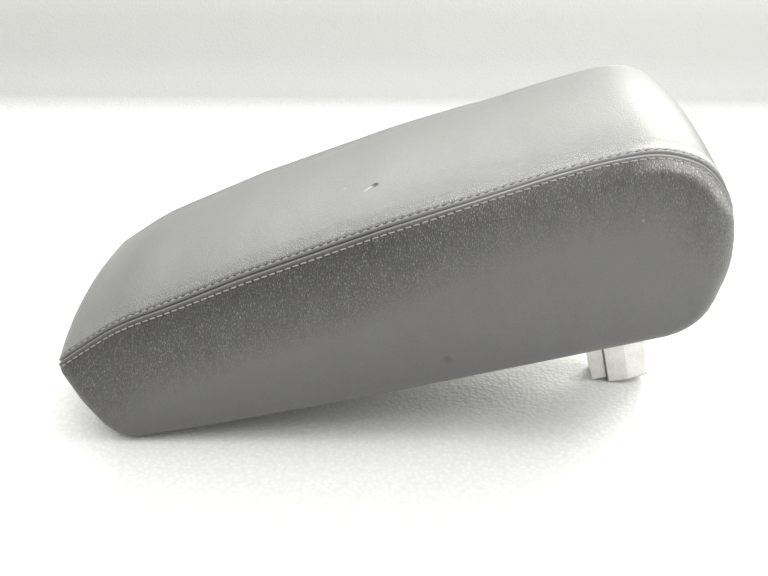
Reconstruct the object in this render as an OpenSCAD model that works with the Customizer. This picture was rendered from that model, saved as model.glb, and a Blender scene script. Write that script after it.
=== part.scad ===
// Folding centre armrest of a car: a leather-covered wedge that hinges on a cast aluminium post.
// X runs along the armrest from the thin nose (-X) to the thick rear (+X), Y is the hinge axis
// and Z is up. The origin is the middle of the post's mounting face, and the armrest is down.

/* [Cushion] */
// Width over the leather
cushion_width = 140; // [110:1:190]
// Straight length of the underside, from the chin corner to the rear corner
underside_length = 308; // [240:1:380]
// Height of the nose above the underside
nose_height = 55; // [40:1:80]
// How far the nose leans out past the chin corner
nose_lean = 14; // [0:1:25]
// Height of the rear edge of the top above the underside
rear_height = 102; // [80:1:130]
// How far the rear edge of the top stands out past the rear corner
rear_lean = 12; // [0:1:25]
// How far the back bulges out past the rear corner
back_bulge = 25; // [10:1:40]
// Rise of the top's arch above the straight line from nose to rear
top_arch = 12.5; // [2:0.5:20]
// Sag of the underside below its straight line
underside_sag = 2.6; // [0:0.2:5]
// Rounding of the chin corner
chin_radius = 20; // [12:1:30]
// Rounding of the nose
nose_radius = 10; // [10:0.5:16]
// Rounding where the top rolls over into the back
roll_radius = 40; // [25:1:50]
// Rounding of the rear corner
rear_corner_radius = 34; // [20:1:45]
// Rise of the top's middle above its edges, across the width
top_crown = 5.4; // [0:0.2:9]
// Rise of the nose's middle past its ends
nose_crown = 8; // [0:0.5:12]
// Rise of the back's middle past its ends
back_crown = 1; // [0:0.5:6]
// Rounding between the sides and the top
top_edge_radius = 10; // [6:0.5:12]
// Rounding between the sides and the back
back_edge_radius = 16; // [8:0.5:20]
// Rounding between the sides and the nose or the underside
low_edge_radius = 8; // [6:0.5:12]

/* [Cover layers] */
// Thickness of the leather
leather = 1.4; // [0.8:0.1:2.5]
// Thickness of the foam at the sides
side_foam = 6.6; // [4:0.2:10]
// Where the seam lies on the rounded edge: 0 is the side plane, 90 the top
seam_angle = 57.5; // [40:0.5:62]
// How much further up the edge the seam climbs before the rear roll
seam_lift = 22; // [0:1:26]
// Gap left between layers that aren't glued
layer_gap = 0.3; // [0.2:0.05:0.6]
// Width of the cover's hem on the underside, from the side plane to the plate's opening
hem = 15; // [12:0.5:22]

/* [Core and base] */
// Wall of the moulded core
core_wall = 3; // [2:0.5:5]
// Thickness of the core's ribs
rib = 2.5; // [1.5:0.5:4]
// Thickness of the underside plate
plate = 3; // [2:0.5:4]

/* [Hinge] */
// Distance from the middle of the post to the rear corner
post_inset = 33; // [30:0.5:45]
// Height of the armrest's underside above the mounting face
underside_z = 62; // [50:1:80]
// Height of the hinge axis above the underside
hinge_rise = 24; // [20:1:30]
// Length of the post along X
post_length = 23; // [18:0.5:28]
// Width of the post along Y
post_width = 21; // [16:0.5:26]
// Length of the rib on the post's front
post_rib = 8.5; // [5:0.5:12]
// Height of the rib's lower end above the mounting face
rib_foot = 2.5; // [1:0.5:10]
// Diameter of the hinge pin
pin_d = 8; // [6:0.5:10]
// Running clearance of the pin in its sleeve, on the radius
pin_clearance = 0.05; // [0.02:0.01:0.08]
// Thickness of the pressed steel cradle
steel = 3; // [2:0.5:4]
// Radius of the cradle's ears and of the post's head about the pin
ear_radius = 12; // [10:0.5:14]
// Height of the core's deck above the hinge axis
deck_rise = 19; // [17:0.5:24]
// Half the width of the slot that the post swings through
slot_half = 17; // [14:0.5:22]
// Distance between the two tapped holes in the post's foot
foot_hole_pitch = 12; // [10:0.5:14]
// Core diameter of the tapped holes
foot_hole_d = 5; // [4:0.5:6]
// Depth of the tapped holes
foot_hole_depth = 18; // [12:1:24]

/* [Hidden] */
$fn = 48;
half_width = cushion_width / 2;
chin_x = post_inset - underside_length;
opening_half = half_width - hem;
hinge_z = underside_z + hinge_rise;

// Outline of the armrest in side view, clockwise from the chin corner: [x, z, radius, steps]
nose_p = [chin_x - nose_lean, underside_z + nose_height];
roll_p = [chin_x + underside_length + rear_lean, underside_z + rear_height];
corner_p = [chin_x + underside_length, underside_z];
top_dir = (roll_p - nose_p) / norm(roll_p - nose_p);
top_normal = [-top_dir[1], top_dir[0]];
function on_top(part, rise) = nose_p + (roll_p - nose_p) * part + top_normal * rise;
function below(part, sag) = [corner_p[0] - underside_length * part, underside_z - sag];
knots = [
    [chin_x, underside_z, chin_radius, 4],
    [chin_x - nose_lean / 2 - 2.4, underside_z + nose_height / 2, 60, 1],
    [nose_p[0], nose_p[1], nose_radius, 6],
    for (k = [[0.12, 0.75], [0.32, 1], [0.55, 0.92], [0.78, 0.49]])
        concat(on_top(k[0], top_arch * k[1]), [150, 2]),
    [roll_p[0], roll_p[1], roll_radius, 6],
    [corner_p[0] + back_bulge, underside_z + rear_height * 0.42, 54, 4],
    [corner_p[0], corner_p[1], rear_corner_radius, 5],
    for (k = [[0.25, 0.5], [0.55, 1], [0.82, 0.7]])
        concat(below(k[0], underside_sag * k[1]), [150, 1])
];
knot_count = len(knots);
function knot(i) = [knots[(i + knot_count) % knot_count][0], knots[(i + knot_count) % knot_count][1]];
function toward(a, b) = (b - a) / norm(b - a);
function half_turn(i) =
    acos(toward(knot(i), knot(i - 1)) * toward(knot(i), knot(i + 1))) / 2;
// A corner's radius is cut back where its two sides are too short for it
function knot_radius(i) = min(knots[i][2],
    0.49 * min(norm(knot(i - 1) - knot(i)), norm(knot(i + 1) - knot(i))) * tan(half_turn(i)));
function knot_centre(i) =
    let (inward = toward(knot(i), knot(i - 1)) + toward(knot(i), knot(i + 1)))
    knot(i) + inward / norm(inward) * knot_radius(i) / sin(half_turn(i));
function touch(i, other) =
    knot(i) + toward(knot(i), knot(other)) * knot_radius(i) / tan(half_turn(i));
function bearing(v) = atan2(v[1], v[0]);
function short_way(a) = a > 180 ? a - 360 : a < -180 ? a + 360 : a;
// Stations round the outline: [x, z, normal x, normal z]
stations = [
    for (i = [0 : knot_count - 1])
        let (
            c = knot_centre(i),
            r = knot_radius(i),
            a = bearing(touch(i, i - 1) - c),
            turn = short_way(bearing(touch(i, i + 1) - c) - a),
            n = knots[i][3]
        )
        for (k = [0 : n])
            let (b = a + turn * k / n)
            [c[0] + r * cos(b), c[1] + r * sin(b), cos(b), sin(b)]
];
station_count = len(stations);
function first_station(i) = i == 0 ? 0 : first_station(i - 1) + knots[i - 1][3] + 1;
seam_front = first_station(2) + 3;
seam_rear = first_station(8) + 1;
notch_top = first_station(8) + 2;
opening_rear = first_station(9) + 5;
slot_z = stations[notch_top][1];

// Rounding and crown at a station, blended by the way the outline faces there
function clip(v) = min(max(v, 0), 1);
function facing(s) =
    let (up = clip((s[3] - 0.15) / 0.6), down = clip((-s[3] - 0.15) / 0.6), flat = (1 - up) * (1 - down))
    [up, down, max(s[2], 0) * flat, max(-s[2], 0) * flat];
function blend(s, values) = let (w = facing(s)) (w * values) / (w[0] + w[1] + w[2] + w[3]);
function edge_radius(s) =
    blend(s, [top_edge_radius, low_edge_radius, back_edge_radius, low_edge_radius]);
function crown(s) = blend(s, [top_crown, 0, back_crown, nose_crown]);

// The seam's climb up the edge: [share of the underside's length, share of the lift]
seam_climb = [
    [0, 0.3], [0.08, 0.3], [0.18, 0.05], [0.28, 0], [0.37, 0.05], [0.47, 0.14], [0.56, 0.22],
    [0.65, 0.43], [0.74, 0.73], [0.83, 0.98], [0.91, 0.84], [0.96, 0.5], [1, 0.2]
];
function climb(s) = s[3] > 0 ? lookup((s[0] - chin_x) / underside_length, seam_climb) : 0;

// Columns across the width: [share of the flat width, angle round the edge, share of the climb]
slot_wall = 2;
notch_half = slot_half + slot_wall + layer_gap;
seam_shift = 0.9;
half_columns = [
    [1, 0, 0],
    [1, 28, 0],
    [1, seam_angle - seam_shift, 1],
    [1, seam_angle + seam_shift, 1],
    [1, 90, 0],
    [opening_half, 90, 0],
    [(opening_half + notch_half) / 2, 90, 0],
    [notch_half, 90, 0]
];
columns = [
    for (c = half_columns) c,
    [0, 90, 0],
    for (k = [len(half_columns) - 1 : -1 : 0])
        [-half_columns[k][0], half_columns[k][1], half_columns[k][2]]
];
column_count = len(columns);
seam_near = 2;
seam_far = column_count - 4;
opening_near = 5;
opening_far = column_count - 6;
notch_near = 7;
notch_far = column_count - 8;

// A point of the cushion at a depth under its surface; the core's side of the foam has no crown
function skin_point(s, c, depth, crowned) =
    let (
        r = crowned ? max(edge_radius(s) - depth, 1) : 0.5,
        w = half_width - depth,
        side = sign(c[0]),
        a = c[1] + c[2] * seam_lift * climb(s),
        y = abs(c[0]) == 1 ? side * (w - r + r * cos(a)) : c[0],
        rise = crowned ? crown(s) * (1 - pow(y / half_width, 2)) : 0,
        inset = depth + (abs(c[0]) == 1 ? r * (1 - sin(a)) : 0)
    )
    [s[0] + s[2] * (rise - inset), y, s[1] + s[3] * (rise - inset)];
function layer(depth, crowned) =
    [for (s = stations) for (c = columns) skin_point(s, c, depth, crowned)];

// Which cells of the grid each layer has
function in_notch(i, j) = i >= notch_top && j >= notch_near && j < notch_far;
function in_opening(i, j) = i >= opening_rear && j >= opening_near && j < opening_far;
function in_top(i, j) = i >= seam_front && i < seam_rear && j > seam_near && j < seam_far;
function by_seam(i, j) =
    i >= seam_front && i < seam_rear && (j == seam_near || j == seam_far);
function has(kind, i, j) =
    j < 0 || j >= column_count - 1 ? false
    : kind == "top" ? in_top(i, j)
    : in_notch(i, j) || in_opening(i, j) ? false
    : kind == "foam" ? true
    : !in_top(i, j) && !by_seam(i, j);

// A closed sheet between two layers of points, with end caps where it covers the sides
module sheet(kind, depth, under, under_crowned, caps) {
    points = concat(layer(depth, true), layer(under, under_crowned));
    size = station_count * column_count;
    function at(i, j, l) = l * size + ((i + station_count) % station_count) * column_count + j;
    function cell(i, j) = has(kind, (i + station_count) % station_count, j);
    faces = [
        for (i = [0 : station_count - 1], j = [0 : column_count - 2])
            if (cell(i, j))
                each concat(
                    [[at(i, j, 0), at(i + 1, j, 0), at(i + 1, j + 1, 0), at(i, j + 1, 0)]],
                    [[at(i, j, 1), at(i, j + 1, 1), at(i + 1, j + 1, 1), at(i + 1, j, 1)]],
                    cell(i - 1, j) ? [] : [[at(i, j, 0), at(i, j + 1, 0), at(i, j + 1, 1), at(i, j, 1)]],
                    cell(i + 1, j) ? []
                    : [[at(i + 1, j, 0), at(i + 1, j, 1), at(i + 1, j + 1, 1), at(i + 1, j + 1, 0)]],
                    cell(i, j - 1) || (caps && j == 0) ? []
                    : [[at(i, j, 0), at(i, j, 1), at(i + 1, j, 1), at(i + 1, j, 0)]],
                    cell(i, j + 1) || (caps && j == column_count - 2) ? []
                    : [[at(i, j + 1, 0), at(i + 1, j + 1, 0), at(i + 1, j + 1, 1), at(i, j + 1, 1)]]
                ),
        if (caps) each [
            [for (i = [station_count - 1 : -1 : 0]) at(i, 0, 0)],
            [for (i = [0 : station_count - 1]) at(i, 0, 1)],
            [for (i = [0 : station_count - 1]) at(i, column_count - 1, 0)],
            [for (i = [station_count - 1 : -1 : 0]) at(i, column_count - 1, 1)]
        ]
    ];
    polyhedron(points, faces, convexity = 6);
}

// Side view shapes, drawn as [x, z] and extruded across the width
module across(length) {
    rotate([90, 0, 0])
        linear_extrude(length, center = true)
            children();
}
module outline(inset) {
    offset(delta = -inset)
        polygon([for (s = stations) [s[0], s[1]]]);
}
module span_x(x0, x1, z0, z1) {
    translate([x0, z0])
        square([x1 - x0, z1 - z0]);
}

// Core: an open-bottomed moulded box with ribs, a deck over the hinge and screw bosses
core_inset = leather + side_foam + 2 * layer_gap;
core_half = half_width - core_inset;
inner_inset = core_inset + core_wall;
bay_half = slot_half + 10;
bay_front = -43;
bay_rear = ear_radius + 14;
deck_z = hinge_z + deck_rise;
deck = 4;
keel_y = bay_half + rib / 2;
rib_pitch = 42;
rib_xs = [for (k = [0 : floor((bay_front - chin_x - 36) / rib_pitch)]) bay_front - rib / 2 - k * rib_pitch];
boss_h = 4;
boss_r = 5.5;
cover_z = underside_z + boss_h;
cover_screw_y = opening_half - 13;
cover_screw_xs = [chin_x + 34, bay_front - 17];
cover_screws = [for (x = cover_screw_xs, y = [-cover_screw_y, cover_screw_y]) [x, y]];
friction_washer = 0.8;
ear_in = post_width / 2 + friction_washer + layer_gap;
ear_out = ear_in + steel;
cradle_front = -32;
cradle_screw_y = ear_out + 5.4;
cradle_screw_xs = [cradle_front + 6, bay_rear - 6];
cradle_screws = [for (x = cradle_screw_xs, y = [-cradle_screw_y, cradle_screw_y]) [x, y]];
rim = 14;
rib_bottom = underside_z + rim;

module core_inside() {
    outline(inner_inset);
    span_x(chin_x + chin_radius, corner_p[0] - 16, underside_z - rim, rib_bottom);
}
module core() {
    color("#2b2c2e")
    difference() {
        union() {
            difference() {
                across(2 * core_half)
                    outline(core_inset);
                across(2 * (core_half - core_wall))
                    core_inside();
            }
            intersection() {
                across(2 * core_half - 1)
                    intersection() {
                        outline(core_inset + 1);
                        span_x(-400, 200, rib_bottom, 400);
                    }
                union() {
                    for (y = [-keel_y, keel_y])
                        translate([chin_x - nose_lean, y - rib / 2, 0])
                            cube([2 * underside_length, rib, 2 * hinge_z]);
                    for (x = rib_xs)
                        translate([x - rib / 2, -half_width, 0])
                            cube([rib, cushion_width, 2 * hinge_z]);
                }
            }
            across(2 * bay_half + 1)
                intersection() {
                    outline(core_inset + 1);
                    span_x(bay_front, 200, deck_z, deck_z + deck);
                }
            for (p = cover_screws)
                intersection() {
                    translate([p[0], p[1], cover_z])
                        cylinder(r = boss_r, h = rear_height);
                    across(2 * core_half)
                        union() {
                            outline(core_inset + 1);
                            span_x(chin_x + chin_radius, bay_front, underside_z, rib_bottom);
                        }
                }
            for (p = cradle_screws)
                translate([p[0], p[1], deck_z])
                    cylinder(r = 5, h = 16);
        }
        translate([bay_rear, -notch_half, underside_z - rim])
            cube([rear_height, 2 * notch_half, slot_z + layer_gap - underside_z + rim]);
        translate([0, -notch_half, underside_z - rim])
            cube([bay_rear + 1, 2 * notch_half, hinge_z - underside_z + rim]);
        for (p = cover_screws)
            translate([p[0], p[1], cover_z - 1])
                cylinder(r = 2, h = 15);
        for (p = cradle_screws)
            translate([p[0], p[1], deck_z - 1])
                cylinder(r = 2.5, h = 14);
    }
}

// Underside plate, inset in the hem of the cover and slotted for the post
plate_half = opening_half - layer_gap;
plate_front = stations[0][0] + layer_gap;
plate_rear = stations[opening_rear][0] - layer_gap;
slot_front = -post_length / 2 - post_rib - 5;
screw_seat = 0.6;
screw_l = 14;
module base_cover() {
    color("#2b2c2e")
    difference() {
        union() {
            across(2 * plate_half)
                intersection() {
                    difference() {
                        outline(0.5);
                        outline(0.5 + plate);
                    }
                    span_x(plate_front, plate_rear, underside_z - rim, underside_z + rim);
                }
            for (p = cover_screws)
                translate([p[0], p[1], underside_z + 1])
                    cylinder(r = boss_r, h = boss_h - 1);
        }
        translate([slot_front, -slot_half, underside_z - rim])
            cube([rear_height, 2 * slot_half, 2 * rim]);
        for (p = cover_screws) {
            translate([p[0], p[1], underside_z - rim])
                cylinder(r = 2.2, h = 2 * rim);
            translate([p[0], p[1], underside_z - rim])
                cylinder(r = 4.4, h = rim + screw_seat);
        }
    }
}

// Pan-head screw pointing up, its head's seat at z = 0
module screw(r, length, head_r, head_h) {
    color("#8d9094")
    difference() {
        union() {
            cylinder(r = r, h = length - r);
            translate([0, 0, length - r])
                cylinder(r1 = r, r2 = r * 0.4, h = r);
            translate([0, 0, -head_h])
                cylinder(r1 = head_r * 0.8, r2 = head_r, h = head_h);
        }
        translate([0, 0, -head_h - 0.01])
            cylinder(r = r * 0.8, h = head_h * 0.6, $fn = 6);
    }
}
module cover_screw(k) {
    translate([cover_screws[k][0], cover_screws[k][1], underside_z + screw_seat])
        screw(1.9, screw_l, 4, 2);
}
module cradle_screw(k) {
    translate([cradle_screws[k][0], cradle_screws[k][1], deck_z - steel])
        screw(2.4, screw_l - 1, 4.6, 2.8);
}

// Trough that lines the slot through the back
module slot_liner() {
    color("#2b2c2e")
    difference() {
        across(2 * (slot_half + slot_wall))
            intersection() {
                outline(0.6);
                span_x(bay_rear + layer_gap, rear_height, underside_z + plate, slot_z);
            }
        across(2 * slot_half)
            span_x(0, rear_height, 0, slot_z - slot_wall);
    }
}

// Cradle: a pressed channel screwed under the deck, with two ears for the pin
web_x = -ear_radius - 3 - steel;
web_drop = 16;
module ear_shape() {
    translate([0, hinge_z])
        circle(r = ear_radius);
    polygon([
        [web_x, deck_z - steel / 2],
        [bay_rear - 6, deck_z - steel / 2],
        [0.966 * ear_radius, hinge_z - ear_radius / 4],
        [-0.966 * ear_radius, hinge_z - ear_radius / 4],
        [web_x + steel, hinge_z - web_drop],
        [web_x, hinge_z - web_drop]
    ]);
}
module cradle() {
    color("#9a9da0")
    difference() {
        union() {
            translate([cradle_front, 2 - bay_half, deck_z - steel])
                cube([bay_rear - layer_gap - cradle_front, 2 * bay_half - 4, steel]);
            difference() {
                across(2 * ear_out)
                    ear_shape();
                across(2 * ear_in)
                    span_x(2 * web_x, 2 * bay_rear, 0, 2 * hinge_z);
            }
            translate([web_x, -ear_out, hinge_z - web_drop])
                cube([steel, 2 * ear_out, deck_rise + web_drop - steel / 2]);
        }
        translate([0, 0, hinge_z])
            rotate([90, 0, 0])
                cylinder(r = pin_d / 2 + 0.05, h = cushion_width, center = true);
        for (p = cradle_screws)
            translate([p[0], p[1], deck_z - steel - 1])
                cylinder(r = 2.75, h = steel + 2);
    }
}

// Rings and the pin on the hinge axis: at(y) puts a solid's z = 0 face at that y, growing to +Y
module on_axis(y) {
    translate([0, y, hinge_z])
        rotate([-90, 0, 0])
            children();
}
module ring(outer, inner, length) {
    difference() {
        cylinder(r = outer, h = length);
        translate([0, 0, -1])
            cylinder(r = inner, h = length + 2);
    }
}
pin_r = pin_d / 2;
washer = 1.2;
spring = 1.6;
spring_r = 8;
nut_y = ear_out + washer + 2 * spring;
nut_h = 5;
nut_r = 7.4;
pin_head_h = 3;
pin_chamfer = 0.8;
module hinge_pin() {
    color("#b9bcc0")
    union() {
        on_axis(-ear_out)
            cylinder(r = pin_r, h = ear_out + nut_y + nut_h + 2.5 - pin_chamfer);
        on_axis(nut_y + nut_h + 2.5 - pin_chamfer)
            cylinder(r1 = pin_r, r2 = pin_r - pin_chamfer, h = pin_chamfer);
        on_axis(-ear_out - pin_head_h)
            cylinder(r1 = pin_r + 2, r2 = pin_r + 3, h = pin_head_h);
    }
}
module pin_washer() {
    color("#b9bcc0")
    on_axis(ear_out)
        ring(spring_r - 0.5, pin_r + 0.1, washer);
}
module disc_spring(k) {
    color("#6e7276")
    on_axis(ear_out + washer + k * spring)
        difference() {
            cylinder(
                r1 = k == 0 ? spring_r : 0.7 * spring_r, r2 = k == 0 ? 0.7 * spring_r : spring_r,
                h = spring
            );
            translate([0, 0, -1])
                cylinder(r = pin_r + 0.1, h = spring + 2);
        }
}
module lock_nut() {
    color("#b9bcc0")
    on_axis(nut_y)
        difference() {
            union() {
                intersection() {
                    cylinder(r = nut_r, h = nut_h, $fn = 6);
                    cylinder(r1 = nut_r + nut_h - 0.5, r2 = nut_r - 0.5, h = nut_h);
                }
                translate([0, 0, nut_h])
                    cylinder(r = pin_r + 2, h = 1.6);
            }
            translate([0, 0, -1])
                cylinder(r = pin_r, h = 2 * nut_h);
        }
}
module friction_washer(side) {
    color("#d8d2c0")
    on_axis(side < 0 ? -ear_in : ear_in - friction_washer)
        ring(ear_radius - 2, pin_r + 0.1, friction_washer);
}
module pin_sleeve() {
    color("#a8814a")
    on_axis(-post_width / 2)
        ring(5.5, pin_r + pin_clearance, post_width);
}
module stop_bumper() {
    color("#1c1c1c")
    translate([web_x + steel, -8, hinge_z - web_drop + 1])
        cube([-post_length / 2 - layer_gap - web_x - steel, 16, 9]);
}
module fold_bumper() {
    color("#1c1c1c")
    translate([ear_radius - 2, -8, hinge_z + post_length / 2 + layer_gap])
        cube([9, 16, deck_rise - steel - post_length / 2 - layer_gap]);
}

// Post: a cast column with drafted sides that meet in a parting ridge, a rib on its front and a
// round head that carries the pin
module hinge_bracket() {
    x = post_length / 2;
    y = post_width / 2;
    rib_y = y - 3;
    rib_top = underside_z - 6;
    color("#c9cacb")
    difference() {
        union() {
            linear_extrude(hinge_z)
                polygon([
                    [-x, -y + 1.2], [0, -y], [x, -y + 2.4],
                    [x, y - 2.4], [0, y], [-x, y - 1.2]
                ]);
            on_axis(-y)
                cylinder(r = ear_radius + 1, h = 2 * y);
            across(2 * rib_y)
                polygon([
                    [-x - post_rib, rib_foot], [-x + 1, rib_foot], [-x + 1, rib_top + post_rib + 1],
                    [-x, rib_top + post_rib], [-x - post_rib, rib_top]
                ]);
        }
        on_axis(-y - 1)
            cylinder(r = 5.5, h = 2 * y + 2);
        for (s = [-1, 1])
            translate([s * foot_hole_pitch / 2, 0, -1])
                cylinder(d = foot_hole_d, h = foot_hole_depth + 1);
    }
}

module top_panel() {
    color("#77797b")
        sheet("top", 0, leather, true, false);
}
module side_band() {
    color("#636567")
        sheet("side", 0, leather, true, true);
}
module foam_pad() {
    color("#c9b98a")
        sheet("foam", leather + layer_gap, core_inset - layer_gap, false, true);
}

// What is drawn: every piece, or one by name
hinge_bracket();
pin_sleeve();
cradle();
hinge_pin();
pin_washer();
disc_spring(0);  // disc_spring_1
disc_spring(1);  // disc_spring_2
lock_nut();
friction_washer(-1);  // friction_washer_1
friction_washer(1);  // friction_washer_2
stop_bumper();
fold_bumper();
cradle_screw(0);  // cradle_screw_1
cradle_screw(1);  // cradle_screw_2
cradle_screw(2);  // cradle_screw_3
cradle_screw(3);  // cradle_screw_4
core();
slot_liner();
base_cover();
cover_screw(0);  // cover_screw_1
cover_screw(1);  // cover_screw_2
cover_screw(2);  // cover_screw_3
cover_screw(3);  // cover_screw_4
foam_pad();
side_band();
top_panel();
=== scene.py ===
"""Car centre armrest: a padded, leather-covered wedge that folds up about a cast aluminium post."""
import math

import bmesh
import bpy
import numpy as np
from mathutils import Matrix, Vector, kdtree


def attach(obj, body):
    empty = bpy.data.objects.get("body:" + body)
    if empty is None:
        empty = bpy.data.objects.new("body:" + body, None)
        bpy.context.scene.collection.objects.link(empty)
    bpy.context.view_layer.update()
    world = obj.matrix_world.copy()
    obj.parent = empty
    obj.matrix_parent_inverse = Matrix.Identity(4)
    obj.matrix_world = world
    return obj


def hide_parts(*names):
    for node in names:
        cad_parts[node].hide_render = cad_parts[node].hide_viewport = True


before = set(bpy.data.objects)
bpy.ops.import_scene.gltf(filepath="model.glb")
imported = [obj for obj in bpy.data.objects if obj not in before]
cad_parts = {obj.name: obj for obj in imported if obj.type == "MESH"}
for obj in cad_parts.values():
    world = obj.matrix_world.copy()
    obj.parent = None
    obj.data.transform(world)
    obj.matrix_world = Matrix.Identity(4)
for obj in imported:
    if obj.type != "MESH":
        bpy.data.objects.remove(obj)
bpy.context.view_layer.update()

# Stage
# The part lies loose on a white foam sweep, on the chin of the armrest and the front edge of its
# post. So the sweep is tilted in the part's own frame, and the camera is rolled with it.
TILT = math.radians(13.75)
FLOOR_UP = Vector((math.sin(TILT), 0, math.cos(TILT)))
FLOOR_ALONG = Vector((math.cos(TILT), 0, -math.sin(TILT)))
FLOOR_DROP = -0.00285
floor_frame = Matrix((
    (FLOOR_ALONG.x, 0, FLOOR_UP.x, FLOOR_UP.x * FLOOR_DROP),
    (0, 1, 0, 0),
    (FLOOR_ALONG.z, 0, FLOOR_UP.z, FLOOR_UP.z * FLOOR_DROP),
    (0, 0, 0, 1)))


def new_material(name):
    material = bpy.data.materials.new(name)
    material.use_nodes = True
    tree = material.node_tree
    shader = tree.nodes["Principled BSDF"]
    return material, tree, shader


def add_node(tree, kind, inputs=None, **settings):
    node = tree.nodes.new(kind)
    for key, value in settings.items():
        setattr(node, key, value)
    for key, value in (inputs or {}).items():
        node.inputs[key].default_value = value
    return node


def ramp(tree, source, stops):
    """A colour ramp; a stop is a place and a colour, or a place and one level of grey."""
    node = tree.nodes.new("ShaderNodeValToRGB")
    while len(node.color_ramp.elements) < len(stops):
        node.color_ramp.elements.new(0.5)
    for element, (place, colour) in zip(node.color_ramp.elements, stops):
        element.position = place
        element.color = (*colour, 1) if len(colour) == 3 else (colour[0],) * 3 + (1,)
    tree.links.new(source, node.inputs["Fac"])
    return node


def to_object(bm, name):
    mesh = bpy.data.meshes.new(name)
    bm.to_mesh(mesh)
    bm.free()
    mesh.shade_smooth()
    obj = bpy.data.objects.new(name, mesh)
    bpy.context.scene.collection.objects.link(obj)
    return obj


SWEEP_NEAR, SWEEP_FAR, SWEEP_HIGH, SWEEP_CURVE = -0.75, 0.485, 0.18, 0.10
SWEEP_WIDTH = 2.2
CURVE_STEPS = 12
# A Mix node's colour sockets share their names, so they are picked by number.
MIX_SHARE, MIX_FIRST, MIX_SECOND, MIX_RESULT = 0, 6, 7, 2


def sweep_material():
    """White foam, mottled, with glints painted on it as bright dots. Its colour darkens up the backdrop as
    painted shade, and it is clear from behind.
    """
    material, tree, shader = new_material("white_sweep")
    shader.inputs["Roughness"].default_value = 0.6
    shader.inputs["Specular IOR Level"].default_value = 0.3
    place = add_node(tree, "ShaderNodeTexCoord")
    foam = add_node(tree, "ShaderNodeTexVoronoi", {"Scale": 420.0}, feature="F1")
    tree.links.new(place.outputs["Object"], foam.inputs["Vector"])
    # The bright dots at the middles of the cells are painted glints; the rest of the mottling is the foam's
    # own.
    tone = ramp(tree, foam.outputs["Distance"],
                [(0.0, (1.0, 1.0, 1.0)), (0.1, (1.0, 1.0, 1.0)), (0.2, (0.90, 0.905, 0.88)),
                 (0.75, (0.84, 0.845, 0.815))])
    height = add_node(tree, "ShaderNodeVectorMath", operation="DOT_PRODUCT")
    height.inputs[1].default_value = FLOOR_UP / SWEEP_HIGH
    tree.links.new(place.outputs["Object"], height.inputs[0])
    # Painted shade: the colour darkens with height up the backdrop.
    shade = ramp(tree, height.outputs["Value"],
                 [(0.01, (1.0,)), (0.07, (0.66,)), (0.25, (0.62,)), (0.42, (0.65,)),
                  (0.6, (0.74,)), (0.8, (0.87,)), (0.95, (0.90,))])
    fade = ramp(tree, height.outputs["Value"], [(0.02, (0.0,)), (0.12, (0.75,))])
    even = add_node(tree, "ShaderNodeMix", data_type="RGBA")
    even.inputs[MIX_SECOND].default_value = (0.93, 0.935, 0.905, 1)
    tree.links.new(fade.outputs["Color"], even.inputs[MIX_SHARE])
    tree.links.new(tone.outputs["Color"], even.inputs[MIX_FIRST])
    shaded_foam = add_node(tree, "ShaderNodeMix", data_type="RGBA", blend_type="MULTIPLY")
    shaded_foam.inputs[MIX_SHARE].default_value = 1
    tree.links.new(even.outputs[MIX_RESULT], shaded_foam.inputs[MIX_FIRST])
    tree.links.new(shade.outputs["Color"], shaded_foam.inputs[MIX_SECOND])
    tree.links.new(shaded_foam.outputs[MIX_RESULT], shader.inputs["Base Color"])
    bump = add_node(tree, "ShaderNodeBump", {"Strength": 0.45, "Distance": 0.0008})
    tree.links.new(foam.outputs["Distance"], bump.inputs["Height"])
    tree.links.new(bump.outputs["Normal"], shader.inputs["Normal"])
    clear = add_node(tree, "ShaderNodeBsdfTransparent")
    facing = add_node(tree, "ShaderNodeNewGeometry")
    mix = add_node(tree, "ShaderNodeMixShader")
    out = tree.nodes["Material Output"]
    tree.links.new(facing.outputs["Backfacing"], mix.inputs["Fac"])
    tree.links.new(shader.outputs["BSDF"], mix.inputs[1])
    tree.links.new(clear.outputs["BSDF"], mix.inputs[2])
    tree.links.new(mix.outputs["Shader"], out.inputs["Surface"])
    return material


bm = bmesh.new()
left = -SWEEP_WIDTH / 2
profile = [Vector((left, SWEEP_NEAR, 0)), Vector((left, SWEEP_FAR - SWEEP_CURVE, 0))]
for k in range(1, CURVE_STEPS + 1):
    turn = math.pi / 2 * k / CURVE_STEPS
    profile.append(Vector((left, SWEEP_FAR - SWEEP_CURVE * (1 - math.sin(turn)),
                           SWEEP_CURVE * (1 - math.cos(turn)))))
profile.append(Vector((left, SWEEP_FAR, SWEEP_HIGH)))
points = [bm.verts.new(p) for p in profile]
edges = [bm.edges.new(pair) for pair in zip(points, points[1:])]
grown = bmesh.ops.extrude_edge_only(bm, edges=edges)["geom"]
grown = [v for v in grown if isinstance(v, bmesh.types.BMVert)]
bmesh.ops.translate(bm, verts=grown, vec=(SWEEP_WIDTH, 0, 0))
bmesh.ops.transform(bm, matrix=floor_frame, verts=bm.verts)
bmesh.ops.recalc_face_normals(bm, faces=bm.faces)
bm.normal_update()
if max(bm.faces, key=lambda f: f.calc_area()).normal.dot(FLOOR_UP) < 0:
    bmesh.ops.reverse_faces(bm, faces=bm.faces)
sweep = to_object(bm, "sweep")
sweep.data.materials.append(sweep_material())

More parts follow.
